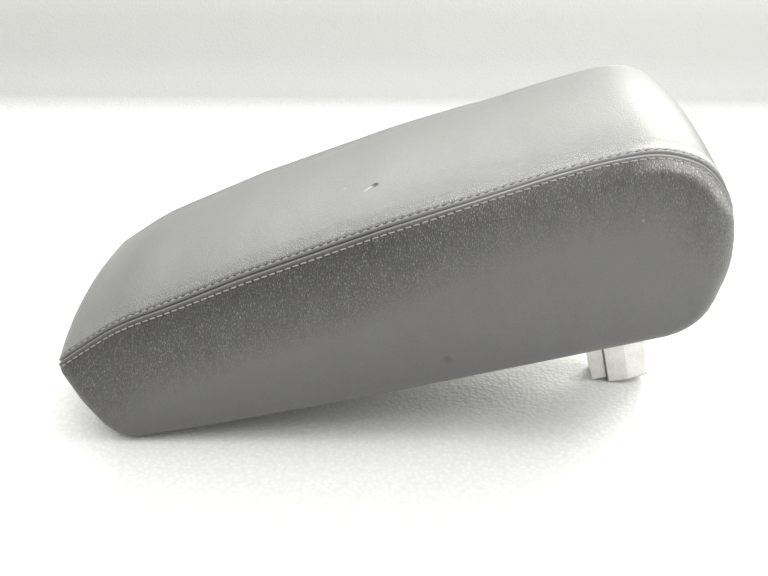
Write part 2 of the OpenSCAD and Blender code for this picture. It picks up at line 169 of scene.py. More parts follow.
# Camera
# It looks straight across the sweep and 30 degrees down, at the near side and the top. Its lens,
# place and turn were fitted to the outline and the seam in the photograph.
camera_data = bpy.data.cameras.new("camera")
camera_data.sensor_width = 36
camera_data.lens = 46.278
camera_data.clip_start = 0.01
camera = bpy.data.objects.new("camera", camera_data)
eye = Vector((-0.051338, -0.479288, 0.353400))
right = Vector((0.971510, 0.016155, -0.236448))
up = Vector((0.196761, 0.501161, 0.842688))
back = Vector((0.132112, -0.865203, 0.483704))
camera.matrix_world = Matrix((
    (right.x, up.x, back.x, eye.x),
    (right.y, up.y, back.y, eye.y),
    (right.z, up.z, back.z, eye.z),
    (0, 0, 0, 1)))
bpy.context.scene.collection.objects.link(camera)
bpy.context.scene.camera = camera

# Lamps
# Two window-like lamps stand behind the part, a small one beyond its rear end, a wide one overhead
# and a weak one in front. Each is placed over the sweep and aimed at the middle of the armrest.
AIM = floor_frame @ Vector((-0.13, 0, 0.06))


def softbox(name, place, size, power, colour=(1, 1, 1)):
    light = bpy.data.lights.new(name, "AREA")
    light.shape = "RECTANGLE"
    light.size, light.size_y = size
    light.energy = power
    light.color = colour
    obj = bpy.data.objects.new(name, light)
    spot = floor_frame @ Vector(place)
    obj.matrix_world = Matrix.Translation(spot) @ (AIM - spot).to_track_quat("-Z", "Z").to_matrix().to_4x4()
    bpy.context.scene.collection.objects.link(obj)


WINDOW_WHITE = (0.99, 1.0, 0.95)
softbox("window_lamp", (-0.18, 1.02, 0.90), (2.1, 0.64), 18.0, WINDOW_WHITE)
softbox("side_window_lamp", (0.50, 0.94, 0.58), (0.8, 0.40), 8.8, WINDOW_WHITE)
softbox("end_lamp", (0.42, -0.12, 0.60), (0.22, 0.22), 1.6)
softbox("ceiling_lamp", (-0.1, -0.2, 1.5), (2.0, 2.0), 21)
softbox("fill_lamp", (-0.3, -1.3, 1.2), (1.4, 1.0), 2.2)
# The world fills in softly, and looks plain and pale to the camera and in reflections.
world = bpy.context.scene.world or bpy.data.worlds.new("studio")
bpy.context.scene.world = world
world.use_nodes = True
tree = world.node_tree
soft = tree.nodes["Background"]
soft.inputs["Color"].default_value = (1.0, 1.0, 0.98, 1)
soft.inputs["Strength"].default_value = 0.53
plain = add_node(tree, "ShaderNodeBackground", {"Color": (0.9, 0.9, 0.88, 1), "Strength": 1.0})
path = add_node(tree, "ShaderNodeLightPath")
mirrored = add_node(tree, "ShaderNodeMath", operation="MAXIMUM")
looked_at = add_node(tree, "ShaderNodeMath", operation="MAXIMUM")
mix = add_node(tree, "ShaderNodeMixShader")
tree.links.new(path.outputs["Is Camera Ray"], mirrored.inputs[0])
tree.links.new(path.outputs["Is Glossy Ray"], mirrored.inputs[1])
tree.links.new(mirrored.outputs[0], looked_at.inputs[0])
tree.links.new(path.outputs["Is Transmission Ray"], looked_at.inputs[1])
tree.links.new(looked_at.outputs[0], mix.inputs["Fac"])
tree.links.new(soft.outputs["Background"], mix.inputs[1])
tree.links.new(plain.outputs["Background"], mix.inputs[2])
tree.links.new(mix.outputs["Shader"], tree.nodes["World Output"].inputs["Surface"])
bpy.context.scene.view_settings.view_transform = "Standard"

# Post
# The fixed part: a raw aluminium die casting, drafted towards a parting ridge on each face,
# bolted to the console from below. Its skin is mottled, and painted dark brown as shade in the rib's
# corner and at the foot.
def object_place(tree, scale=(1, 1, 1)):
    place = add_node(tree, "ShaderNodeTexCoord")
    mapping = add_node(tree, "ShaderNodeMapping", {"Scale": scale})
    tree.links.new(place.outputs["Object"], mapping.inputs["Vector"])
    return mapping.outputs["Vector"]


def textured(tree, kind, vector, inputs, **settings):
    node = add_node(tree, kind, inputs, **settings)
    tree.links.new(vector, node.inputs["Vector"])
    return node


def math_node(tree, operation, a, b=None, clamp=False):
    node = tree.nodes.new("ShaderNodeMath")
    node.operation = operation
    node.use_clamp = clamp
    for socket, value in zip(node.inputs, (a, b)):
        if value is None:
            continue
        if isinstance(value, (int, float)):
            socket.default_value = value
        else:
            tree.links.new(value, socket)
    return node.outputs[0]


def bumped(tree, shader, height, strength, distance):
    bump = add_node(tree, "ShaderNodeBump", {"Strength": strength, "Distance": distance})
    tree.links.new(height, bump.inputs["Height"])
    tree.links.new(bump.outputs["Normal"], shader.inputs["Normal"])


def speckled(name, low, high, metallic, rough, scale, bump):
    """A surface whose tone wanders between two colours, with a fine bump of its own."""
    material, tree, shader = new_material(name)
    vector = object_place(tree)
    fine = textured(tree, "ShaderNodeTexNoise", vector, {"Scale": scale, "Detail": 5.0, "Roughness": 0.65})
    broad = textured(tree, "ShaderNodeTexNoise", vector, {"Scale": scale * 0.12, "Detail": 3.0})
    mixed = math_node(tree, "ADD", math_node(tree, "MULTIPLY", fine.outputs["Fac"], 0.5),
                      math_node(tree, "MULTIPLY", broad.outputs["Fac"], 0.5))
    tone = ramp(tree, mixed, [(0.3, low), (0.7, high)])
    tree.links.new(tone.outputs["Color"], shader.inputs["Base Color"])
    worn = ramp(tree, fine.outputs["Fac"], [(0.3, (rough + 0.08,)), (0.7, (rough - 0.06,))])
    tree.links.new(worn.outputs["Color"], shader.inputs["Roughness"])
    shader.inputs["Metallic"].default_value = metallic
    bumped(tree, shader, fine.outputs["Fac"], bump, 0.0002)
    return material


def refinish(node, material):
    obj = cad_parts[node]
    for place in obj.material_slots:
        place.material = material
    if not obj.material_slots:
        obj.data.materials.append(material)


# Painted shade darkens the corner where the rib meets the post, and the edge of the foot. Its places
# are in millimetres.
RIB_CORNER = -11.5
casting = speckled("cast_aluminium", (0.70, 0.685, 0.65), (0.93, 0.92, 0.90), 0.6, 0.5, 900, 0.5)
tree = casting.node_tree
place = add_node(tree, "ShaderNodeSeparateXYZ")
tree.links.new(object_place(tree, (1000, 1000, 1000)), place.inputs["Vector"])
from_corner = math_node(tree, "ABSOLUTE", math_node(tree, "SUBTRACT", place.outputs["X"], RIB_CORNER))
corner_painted_shade = ramp(tree, from_corner, [(0.3, (0.85,)), (0.75, (0.0,))])
foot_painted_shade = ramp(tree, place.outputs["Z"], [(0.2, (0.45,)), (0.9, (0.0,))])
# Painted shade: a dark brown mixed into the casting's colour.
painted_shade_mix = add_node(tree, "ShaderNodeMix", data_type="RGBA")
painted_shade_mix.inputs[MIX_SECOND].default_value = (0.16, 0.12, 0.09, 1)
base_colour = tree.nodes["Principled BSDF"].inputs["Base Color"]
tree.links.new(math_node(tree, "MAXIMUM", corner_painted_shade.outputs["Color"], foot_painted_shade.outputs["Color"]),
               painted_shade_mix.inputs[MIX_SHARE])
tree.links.new(base_colour.links[0].from_socket, painted_shade_mix.inputs[MIX_FIRST])
tree.links.new(painted_shade_mix.outputs[MIX_RESULT], base_colour)
refinish("hinge_bracket", casting)
bronze = speckled("sintered_bronze", (0.42, 0.28, 0.13), (0.58, 0.41, 0.22), 1.0, 0.42, 1500, 0.3)
refinish("pin_sleeve", bronze)

# Hinge
# A pressed steel cradle with two ears, a headed pin through them, and two disc springs under the
# nut that clamp the ears on acetal washers, so that the armrest stays where it is left.
zinc = speckled("zinc_plate", (0.50, 0.51, 0.52), (0.68, 0.69, 0.70), 1.0, 0.30, 700, 0.15)
refinish("cradle", speckled("grey_coat", (0.11, 0.115, 0.12), (0.17, 0.175, 0.18), 0.3, 0.45, 1100, 0.35))
for node in ("hinge_pin", "pin_washer", "lock_nut", *(f"cradle_screw_{n}" for n in (1, 2, 3, 4))):
    refinish(node, zinc)
spring_steel = speckled("spring_steel", (0.14, 0.145, 0.16), (0.24, 0.245, 0.26), 1.0, 0.38, 900, 0.2)
acetal = speckled("acetal", (0.58, 0.55, 0.47), (0.66, 0.63, 0.55), 0.0, 0.42, 800, 0.1)
rubber = speckled("rubber", (0.018, 0.018, 0.018), (0.032, 0.032, 0.033), 0.0, 0.72, 1400, 0.4)
for nodes, material in ((("disc_spring_1", "disc_spring_2"), spring_steel),
                        (("friction_washer_1", "friction_washer_2"), acetal),
                        (("stop_bumper", "fold_bumper"), rubber)):
    for node in nodes:
        refinish(node, material)

# Core and underside
# A ribbed box moulded in black plastic carries the pad. A grained plate closes it from below,
# held by four blackened screws, and a trough lines the slot that the post swings through.
refinish("core", speckled("core_plastic", (0.020, 0.020, 0.022), (0.032, 0.032, 0.034), 0.0, 0.5, 600, 0.2))
grained = speckled("grained_plastic", (0.022, 0.022, 0.023), (0.036, 0.036, 0.037), 0.0, 0.56, 1300, 1.0)
for node in ("slot_liner", "base_cover"):
    refinish(node, grained)
blackened = speckled("blackened_steel", (0.03, 0.03, 0.032), (0.06, 0.06, 0.062), 0.8, 0.4, 900, 0.2)
for number in (1, 2, 3, 4):
    refinish(f"cover_screw_{number}", blackened)

# Padded cushion
# One moulded foam pad, glued over the core: a wedge, crowned across its top and rounded at its
# edges. Lengths in this section are millimetres; the outline's corners repeat the frame's.
HALF_WIDTH, UNDERSIDE, CHIN_X, REAR_X = 70.0, 62.0, -275.0, 33.0
NOSE_LEAN, NOSE_HEIGHT, REAR_LEAN, REAR_HEIGHT, BACK_BULGE = 14, 55, 12, 102, 25
TOP_ARCH, UNDERSIDE_SAG, GENTLE_BEND = 12.5, 2.6, 150
NOSE = np.array([CHIN_X - NOSE_LEAN, UNDERSIDE + NOSE_HEIGHT])
ROLL = np.array([REAR_X + REAR_LEAN, UNDERSIDE + REAR_HEIGHT])
top_way = (ROLL - NOSE) / np.linalg.norm(ROLL - NOSE)
top_rise = np.array([-top_way[1], top_way[0]])
corners = [(CHIN_X, UNDERSIDE, 20), (CHIN_X - 9.4, UNDERSIDE + 27.5, 60), (*NOSE, 10)]
for part, rise in ((0.12, 0.75), (0.32, 1), (0.55, 0.92), (0.78, 0.49)):
    corners.append((*(NOSE + (ROLL - NOSE) * part + top_rise * TOP_ARCH * rise), GENTLE_BEND))
corners += [(*ROLL, 40), (REAR_X + BACK_BULGE, UNDERSIDE + REAR_HEIGHT * 0.42, 54), (REAR_X, UNDERSIDE, 34)]
for part, sag in ((0.25, 0.5), (0.55, 1), (0.82, 0.7)):
    corners.append((REAR_X - (REAR_X - CHIN_X) * part, UNDERSIDE - UNDERSIDE_SAG * sag, GENTLE_BEND))


def corner_arc(i):
    """The arc that rounds a corner of the outline, as points 0.25 mm apart."""
    before, (x, z, radius), after = corners[i - 1], corners[i], corners[(i + 1) % len(corners)]
    p = np.array([x, z])
    a, b = np.array(before[:2]) - p, np.array(after[:2]) - p
    reach = 0.49 * min(np.linalg.norm(a), np.linalg.norm(b))
    a, b = a / np.linalg.norm(a), b / np.linalg.norm(b)
    half = math.acos(a @ b) / 2
    radius = min(radius, reach * math.tan(half))
    centre = p + (a + b) / np.linalg.norm(a + b) * radius / math.sin(half)
    start = p + a * radius / math.tan(half) - centre
    end = p + b * radius / math.tan(half) - centre
    first = math.atan2(start[1], start[0])
    turn = (math.atan2(end[1], end[0]) - first + math.pi) % (2 * math.pi) - math.pi
    steps = first + turn * np.linspace(0, 1, max(3, int(abs(turn) * radius / 0.25)))
    return centre + radius * np.stack([np.cos(steps), np.sin(steps)], 1)


def run_along(path):
    """The distance along a line at each of its points."""
    return np.concatenate([[0], np.cumsum(np.linalg.norm(np.diff(path, axis=0), axis=1))])


def spaced(loop, count):
    """The loop's points, moved to equal distances along it, and its length."""
    path = np.vstack([loop, loop[:1]])
    run = run_along(path)
    at = np.linspace(0, run[-1], count + 1)[:-1]
    return np.stack([np.interp(at, run, path[:, k]) for k in range(path.shape[1])], 1), run[-1]


def softened(values, width):
    """Values round a loop, averaged over a width given in samples."""
    reach = int(width * 4)
    weights = np.exp(-0.5 * (np.arange(-reach, reach + 1) / width) ** 2)
    weights /= weights.sum()
    wide = np.concatenate([values[-reach:], values, values[:reach]])
    if values.ndim == 1:
        return np.convolve(wide, weights, "valid")
    return np.stack([np.convolve(wide[:, k], weights, "valid") for k in range(values.shape[1])], 1)


arcs = [corner_arc(i) for i in range(len(corners))]
STATIONS = 1600
rim, rim_length = spaced(np.vstack(arcs), STATIONS)
rim = softened(rim, 4)
rim_step = rim_length / STATIONS
rim_way = np.roll(rim, -1, 0) - np.roll(rim, 1, 0)
rim_way /= np.linalg.norm(rim_way, axis=1)[:, None]
rim_out = np.stack([-rim_way[:, 1], rim_way[:, 0]], 1)
upward = np.clip((rim_out[:, 1] - 0.15) / 0.6, 0, 1)
downward = np.clip((-rim_out[:, 1] - 0.15) / 0.6, 0, 1)
level = (1 - upward) * (1 - downward)
shares = np.stack([upward, downward, np.maximum(rim_out[:, 0], 0) * level,
                   np.maximum(-rim_out[:, 0], 0) * level], 1)
shares /= shares.sum(1)[:, None]
# The rounding of the edges and the rise of the middle, at the top, underside, back and nose.
EDGE_ROUNDS, CROWNS = np.array([10.0, 8.0, 16.0, 8.0]), np.array([5.4, 0.0, 1.0, 8.0])
edge_round = softened(shares @ EDGE_ROUNDS, 10)
crowning = softened(shares @ CROWNS, 10)
CELLS_LOW = np.array([-300.0, 55.0])
cells = np.stack(np.meshgrid(np.arange(365), np.arange(120), indexing="ij"), 2) + CELLS_LOW
nearest_rim = np.empty(cells.shape[:2], int)
for i, column in enumerate(cells):
    nearest_rim[i] = ((column[:, None] - rim[None]) ** 2).sum(2).argmin(1)


def stations_near(flat):
    """The outline's nearest station to each point of the side view."""
    cell = np.clip(np.rint(flat - CELLS_LOW).astype(int), 0, np.array(nearest_rim.shape) - 1)
    tried = (nearest_rim[cell[:, 0], cell[:, 1]][:, None] + np.arange(-4, 5)) % STATIONS
    best = ((flat[:, None] - rim[tried]) ** 2).sum(2).argmin(1)
    return tried[np.arange(len(flat)), best]


def shape_at(points):
    """How far points lie outside the cushion's surface, and the way out."""
    flat = points[:, [0, 2]]
    near = stations_near(flat)
    slip = np.clip(((flat - rim[near]) * rim_way[near]).sum(1) / rim_step, -0.5, 0.5)
    spot = near + slip
    at = rim_value(spot, rim)
    out = rim_value(spot, rim_out)
    out /= np.linalg.norm(out, axis=1)[:, None]
    r, crown = rim_value(spot, edge_round), rim_value(spot, crowning)
    y = points[:, 1]
    a = ((flat - at) * out).sum(1) - crown * (1 - (y / HALF_WIDTH) ** 2) + r
    b = np.abs(y) - HALF_WIDTH + r
    grow = np.stack([out[:, 0], 2 * y * crown / HALF_WIDTH ** 2, out[:, 1]], 1)
    side = np.stack([0 * y, np.sign(y), 0 * y], 1)
    both = np.hypot(np.maximum(a, 0), np.maximum(b, 0))
    distance = both + np.minimum(np.maximum(a, b), 0) - r
    in_edge = (a > 0) & (b > 0)
    way = np.where((a > b)[:, None], grow, side)
    blended = (a[:, None] * grow + b[:, None] * side) / np.maximum(both, 1e-9)[:, None]
    return distance, np.where(in_edge[:, None], blended, way)


def rim_value(spot, values):
    """Values at places between the outline's stations."""
    low = np.floor(spot).astype(int)
    part = spot - low
    part = part[:, None] if values.ndim == 2 else part
    return values[low % STATIONS] * (1 - part) + values[(low + 1) % STATIONS] * part


def settled(points, inset=0.0, turns=5):
    """Points moved onto the cushion's surface, or a little under it, with the normals there."""
    points = np.array(points, float)
    for _ in range(turns):
        distance, way = shape_at(points)
        points -= ((distance + inset) / (way ** 2).sum(1))[:, None] * way
    return points, way / np.linalg.norm(way, axis=1)[:, None]


def laid(run, across):
    """Surface points from a run round the outline and a distance across from the middle."""
    spot = run / rim_step
    at, out = rim_value(spot, rim), rim_value(spot, rim_out)
    r, crown = rim_value(spot, edge_round), rim_value(spot, crowning)
    over = np.abs(across) - (HALF_WIDTH - r)
    turn = np.clip(over / r, 0, math.pi / 2)
    y = np.where(over > 0, HALF_WIDTH - r + r * np.sin(turn), np.abs(across))
    inset = np.where(over > 0, r * (1 - np.cos(turn)), 0) + np.maximum(over - r * math.pi / 2, 0)
    lift = crown * (1 - (y / HALF_WIDTH) ** 2) - inset
    return np.stack([at[:, 0] + out[:, 0] * lift, y * np.sign(across), at[:, 1] + out[:, 1] * lift], 1)


def rounded_loop(first, last, reach, front_r, rear_r, way=1):
    """A loop over the surface between two runs, symmetric about the middle, from mid front."""
    short, long = 60, 900
    span = np.linspace(0, math.pi / 2, short)
    inner = reach(way * np.array([first]))[0] - front_r
    run = [np.full(short, first), first + front_r * (1 - np.cos(span)),
           np.linspace(first + front_r, last - rear_r, long), last - rear_r + rear_r * np.sin(span)]
    cut = [None, front_r * (1 - np.sin(span)), np.zeros(long), rear_r * (1 - np.cos(span))]
    across = [np.linspace(0, inner, short)] + [reach(way * r) - c for r, c in zip(run[1:], cut[1:])]
    run.append(np.full(short, last))
    across.append(np.linspace(across[-1][-1], 0, short))
    run, across = np.concatenate(run), np.concatenate(across)
    keep = np.concatenate([[True], (np.abs(np.diff(run)) + np.abs(np.diff(across))) > 1e-6])
    run, across = run[keep], across[keep]
    run = np.concatenate([run, run[-2:0:-1]])
    across = np.concatenate([-across, across[-2:0:-1]])
    across = np.where(np.abs(across) < 1e-9, 1e-9, across)
    return settled(laid(way * run, across))[0]


def run_of(x, z):
    """How far round the outline a point of the side view lies."""
    return stations_near(np.array([[x, z]]))[0] * rim_step


# The seam's place on the rounded edge, for runs round the outline: 0 degrees is the side plane
# and 90 the top.
SEAM_RUNS = [60, 103, 136, 167, 198, 227, 256, 284, 311, 338, 352, 365, 392, 425, 470]
SEAM_ANGLES = [62, 62.5, 55.5, 54, 55.5, 58, 58.5, 62.8, 68, 72.2, 73.3, 70.6, 57, 61, 62]
FAR_ANGLES = [55, 46, 43, 43, 43, 43, 43, 43, 43, 43, 43, 43, 45, 50, 55]
BELOW_NOSE, BELOW_ROLL = 3.0, 25.0
SEAM_FRONT = run_of(*corner_arc(2)[len(corner_arc(2)) // 2]) - BELOW_NOSE
SEAM_REAR = run_of(*corner_arc(7)[-1]) + BELOW_ROLL
FRONT_ROUND, REAR_ROUND = 9.0, 35.0
STITCH_PITCH, STITCH_POINTS = 4.12, 6


def seam_reach(angles):
    """How far across the surface the seam lies, for each run round the outline."""
    def reach(run):
        r = rim_value(run / rim_step, edge_round)
        return HALF_WIDTH - r + r * np.radians(90 - np.interp(run, SEAM_RUNS, angles))
    return reach


near_loop = rounded_loop(SEAM_FRONT, SEAM_REAR, seam_reach(SEAM_ANGLES), FRONT_ROUND, REAR_ROUND)
far_loop = rounded_loop(SEAM_FRONT, SEAM_REAR, seam_reach(FAR_ANGLES), FRONT_ROUND, REAR_ROUND)
seam_dense = np.vstack([near_loop[:len(near_loop) // 2 + 1], far_loop[len(far_loop) // 2 + 1:]])
_, SEAM_LENGTH = spaced(seam_dense, 100)
STITCHES = 2 * round(SEAM_LENGTH / STITCH_PITCH / 2)
FINE = STITCHES * STITCH_POINTS
seam, _ = spaced(seam_dense, FINE)
seam, seam_out = settled(softened(seam, 5))
seam_tree = kdtree.KDTree(FINE)
for i, point in enumerate(seam):
    seam_tree.insert(point, i)
seam_tree.balance()

# The pad itself is settled by simulation: it starts slightly small, is held along its seam and
# underside, and swells until the cover is tight. The cover pieces below take over that swell.
START_SIZE, START_MIDDLE, START_INSET = (0.332, 0.126, 0.07), (-0.12, 0, 0.105), 0.7
SWELL_CAP, SETTLE_FRAMES = 1.7, 20
bm = bmesh.new()
bmesh.ops.create_cube(bm, size=1)
bmesh.ops.scale(bm, verts=bm.verts, vec=START_SIZE)
bmesh.ops.translate(bm, verts=bm.verts, vec=START_MIDDLE)
bmesh.ops.subdivide_edges(bm, edges=bm.edges, cuts=23, use_grid_fill=True)
points, _ = settled(np.array([v.co for v in bm.verts]) * 1000, START_INSET, turns=12)
for v, p in zip(bm.verts, points):
    v.co = p / 1000
bmesh.ops.recalc_face_normals(bm, faces=bm.faces)
pad = to_object(bm, "pad_at_start")


def applied(obj):
    """Makes what an object's modifiers show its own mesh."""
    graph = bpy.context.evaluated_depsgraph_get()
    mesh = bpy.data.meshes.new_from_object(obj.evaluated_get(graph))
    obj.modifiers.clear()
    obj.data = mesh


def co_of(mesh):
    """A mesh's points as rows of an array."""
    flat = np.empty(len(mesh.vertices) * 3)
    mesh.vertices.foreach_get("co", flat)
    return flat.reshape(-1, 3)


remesh = pad.modifiers.new("remesh", "REMESH")
remesh.mode = "VOXEL"
remesh.voxel_size = 0.005
applied(pad)
pad_start = settled(co_of(pad.data) * 1000, START_INSET)[0]
pad.data.vertices.foreach_set("co", (pad_start / 1000).ravel())
pad.data.update()
swell = np.zeros_like(pad_start)
held = pad.vertex_groups.new(name="held")
for i, p in enumerate(pad_start):
    from_seam, over_underside = seam_tree.find(p)[2], max(p[2] - UNDERSIDE - 2, 0)
    grip = max(1 - from_seam / 7, 1 - over_underside / 6, 0)
    held.add([i], float(grip), "REPLACE")
cloth = pad.modifiers.new("cloth", "CLOTH")
cloth.settings.use_pressure = True
cloth.settings.uniform_pressure_force = 4
cloth.settings.effector_weights.gravity = 0
cloth.settings.vertex_group_mass = "held"
cloth.settings.tension_stiffness = 12
cloth.settings.compression_stiffness = 12
cloth.settings.bending_stiffness = 2
cloth.settings.quality = 6
cloth.point_cache.frame_start, cloth.point_cache.frame_end = 1, SETTLE_FRAMES
for frame_number in range(1, SETTLE_FRAMES + 1):
    bpy.context.scene.frame_set(frame_number)
applied(pad)
swell = co_of(pad.data) * 1000 - pad_start
pad_tree = kdtree.KDTree(len(pad_start))
for i, point in enumerate(pad_start):
    pad_tree.insert(point, i)
pad_tree.balance()
bpy.data.objects.remove(pad)


def swollen(points, count=10, spread=50):
    """The pad's swell at each point, blended from the nearest points of the simulated pad."""
    result = np.empty_like(points)
    for i, p in enumerate(points):
        found = pad_tree.find_n(p, count)
        near = np.array([f[1] for f in found])
        weight = np.exp(-np.array([f[2] for f in found]) ** 2 / spread)
        result[i] = weight @ swell[near] / weight.sum()
    return result


swell = swollen(pad_start, count=40, spread=220)
size = np.linalg.norm(swell, axis=1)
swell *= (SWELL_CAP * np.tanh(size / SWELL_CAP) / np.maximum(size, 1e-6))[:, None]


# Leather cover
# Two panels of grained leather, sewn edge to edge, with the allowances folded back and
# top-stitched on both sides. Each panel starts at the seam and grows away from it row by row.
ROWS = [0, 0.22, 0.44, 0.7, 1.0, 1.3, 1.65, 2.0, 2.4, 2.65, 2.85, 3.1, 3.35, 3.6, 3.9, 4.4, 5.1, 6, 7, 8.2]
TOP_STITCH, LOW_STITCH = 2.85, 3.35


def narrowing(points, sign):
    """How much closer to the seam its rows are sewn than ROWS says: more so towards the rear."""
    return np.interp(points[:, 0], [-140, -60], [0.80, 0.72] if sign > 0 else [1.0, 0.8])


def grown_rows(sign):
    """Rows of points beside the seam, on the top panel's side (1) or the side band's (-1)."""
    rows, outs = [seam], [seam_out]
    share = narrowing(seam, sign)[:, None]
    for near, far in zip(ROWS, ROWS[1:]):
        last, out = rows[-1], outs[-1]
        along = softened(np.roll(last, -1, 0) - np.roll(last, 1, 0), 2)
        across = np.cross(out, along)
        across /= np.linalg.norm(across, axis=1)[:, None]
        points, out = settled(last + sign * (far - near) * share * across)
        rows.append(points)
        outs.append(out)
    return rows, outs


# Heights of the leather at distances from the seam: from the seam's bottom over the lip and the
# dip of the stitched row to the swell behind it, for both panels, at the nose and at the rear.
# Past the sewn rows there are no puckers, so any phase does for them.
ANY_PHASE = 0.25
RELIEF_AT = [0, 0.22, 0.44, 0.7, 1, 1.3, 1.65, 2, 2.4, 2.85, 3.35, 3.9, 5.1, 7, 8.2, 11]
TOP_FRONT = [-0.7, -0.55, -0.3, 0.05, 0.3, 0.46, 0.5, 0.42, 0.2, -0.1, 0.02, 0.12, 0.16, 0.1, 0.05, 0]
TOP_REAR = [-0.4, -0.3, -0.12, 0.08, 0.22, 0.32, 0.34, 0.26, 0.08, -0.1, 0, 0.08, 0.12, 0.1, 0.05, 0]
LOW_FRONT = [-0.7, -0.55, -0.3, 0.02, 0.28, 0.42, 0.42, 0.2, -0.1, -0.14, -0.12, -0.05, 0.05, 0.06, 0.04, 0]
LOW_REAR = [-0.45, -0.42, -0.36, -0.22, -0.06, 0.1, 0.26, 0.24, -0.05, -0.14, -0.1, -0.04,
            0.05, 0.06, 0.04, 0]


def seam_relief(d, phase, sign, rear):
    """Height of the leather beside the seam, and its puckers between the stitches."""
    front_height = np.interp(d, RELIEF_AT, TOP_FRONT if sign > 0 else LOW_FRONT)
    rear_height = np.interp(d, RELIEF_AT, TOP_REAR if sign > 0 else LOW_REAR)
    height = front_height + (rear_height - front_height) * rear
    if sign > 0:
        pull = np.interp(d, [1.3, 2.4, 2.85, 3.9, 7], [0, 0.16, 0.34, 0.24, 0])
    else:
        pull = np.interp(d, [2, 2.85, 3.35, 4.4, 6], [0, 0.08, 0.2, 0.1, 0])
    return height - pull * (0.5 + 0.5 * np.cos(2 * math.pi * phase))


def closed_strip(bm, rows):
    """A strip through rows of equally many points round the seam; coinciding points weld later."""
    count = len(rows[0])
    made = bmesh.ops.create_grid(bm, x_segments=count, y_segments=len(rows) - 1, size=1)["verts"]
    for i, v in enumerate(made):
        v.co = rows[i // (count + 1)][i % (count + 1) % count] / 1000


def at_rear(points):
    """0 along the front half of the seam and 1 along the rear half."""
    return np.interp(points[:, 0], [-120, -50], [0, 1])


def corner_share(points):
    """Where the side band is pulled tight round the rear corners, and where a highlight is painted on it."""
    x, y, z = points.T
    return (np.interp(x, [8, 28], [0, 1]) * np.interp(z, [108, 136], [0, 1])
            * np.interp(abs(y), [50, 64], [0, 1]))


def full_corner(points):
    """The side band stands out fuller below the seam at the rear corners, and bends hard there."""
    d = np.array([seam_tree.find(p)[2] for p in points])
    full = np.interp(points[:, 0], [36, 46], [1, 0.4])
    return corner_share(points) * full * np.interp(d, [1.5, 3, 5, 6.5, 7.5, 8.5, 10, 13],
                                                   [0, 0.25, 0.85, 1.45, 1.85, 1.7, 1.0, 0])


def finished(points, normals, away, phase, sign):
    """Points of the bare pad's surface, moved to where the stuffed and sewn cover lies."""
    lift = seam_relief(away, phase, sign, at_rear(points)) - START_INSET * np.clip(away / 9, 0, 1)
    if sign < 0:
        lift += full_corner(points)
    return points + swollen(points) + normals * lift[:, None]


def off_seam(points):
    """Distances from the seam, past the rows that are sewn."""
    return np.maximum([seam_tree.find(p)[2] for p in points], ROWS[-1])


def folded_in(bm, depth):
    """Turns the cut edges of a sheet inwards by its thickness, so that it doesn't look like foil."""
    bm.normal_update()
    way = {v.co.copy().freeze(): v.normal.copy() for v in bm.verts}
    cut = [e for e in bm.edges if e.is_boundary]
    grown = bmesh.ops.extrude_edge_only(bm, edges=cut)["geom"]
    for v in (g for g in grown if isinstance(g, bmesh.types.BMVert)):
        v.co -= way[v.co.copy().freeze()] * depth


def record_seam_place(obj, sign):
    """Stores for the material how far along the seam each point lies, how far from it, and whether
    it is at the rear (1) and at a rear corner with a painted highlight (2)."""
    mesh = obj.data
    spots = co_of(mesh) * 1000
    rear, corner = at_rear(spots), corner_share(spots)
    place = np.zeros((len(spots), 3))
    for i, p in enumerate(spots):
        _, k, d = sewn_tree.find(p)
        away = np.linalg.norm(p - sewn[k])
        corner_highlight = corner[i] * np.interp(away, [1.5, 3.5, 7, 9.5], [0, 1, 1, 0])
        place[i] = (k * SEAM_LENGTH / FINE, away / sewn_share[sign][k], rear[i] + corner_highlight)
    layer = mesh.attributes.new("seam_place", "FLOAT_VECTOR", "POINT")
    layer.data.foreach_set("vector", place.ravel())


def outward(bm):
    """Turns all faces of an open sheet the way that the pad's surface faces."""
    bmesh.ops.remove_doubles(bm, verts=bm.verts, dist=2e-6)
    bmesh.ops.recalc_face_normals(bm, faces=bm.faces)
    bm.normal_update()
    tested = list(bm.faces)[::97]
    _, way = shape_at(np.array([f.calc_center_median() for f in tested]) * 1000)
    if sum(f.normal.dot(Vector(w)) for f, w in zip(tested, way)) < 0:
        bmesh.ops.reverse_faces(bm, faces=bm.faces)


# Top panel
# The upper panel of the cover, from the seam at the nose, over the arched top and the rear roll,
# to the seam on the back. It is cut from one piece and sewn on all round.
SEAM_TUCK = 5
phase = np.arange(FINE) / STITCH_POINTS
top_rows, top_outs = grown_rows(1)
sewn_top = [finished(p, n, np.full(FINE, d), phase, 1) for p, n, d in zip(top_rows, top_outs, ROWS)]
COARSE = FINE // 2
inner = top_rows[-1][::2]
inward = np.cross(top_outs[-1][::2], softened(np.roll(inner, -1, 0) - np.roll(inner, 1, 0), 2))
inner_next, inner_out = settled(inner + 1.3 * (inward / np.linalg.norm(inward, axis=1)[:, None]))
to_corner = HALF_WIDTH - SEAM_TUCK - FRONT_ROUND + FRONT_ROUND * math.pi / 4
nose_corner = round(to_corner / (SEAM_LENGTH / COARSE))
long_side, cross_side = COARSE // 2 - 2 * nose_corner, 2 * nose_corner
k = np.arange(long_side + 1)
near_edge, far_edge = inner_next[nose_corner + k], inner_next[(COARSE - nose_corner - k) % COARSE]
k = np.arange(cross_side + 1)
front_edge = inner_next[(nose_corner - k) % COARSE]
rear_edge = inner_next[(COARSE // 2 - nose_corner + k) % COARSE]
s = np.linspace(0, 1, long_side + 1)[None, :, None]
t = np.linspace(0, 1, cross_side + 1)[:, None, None]
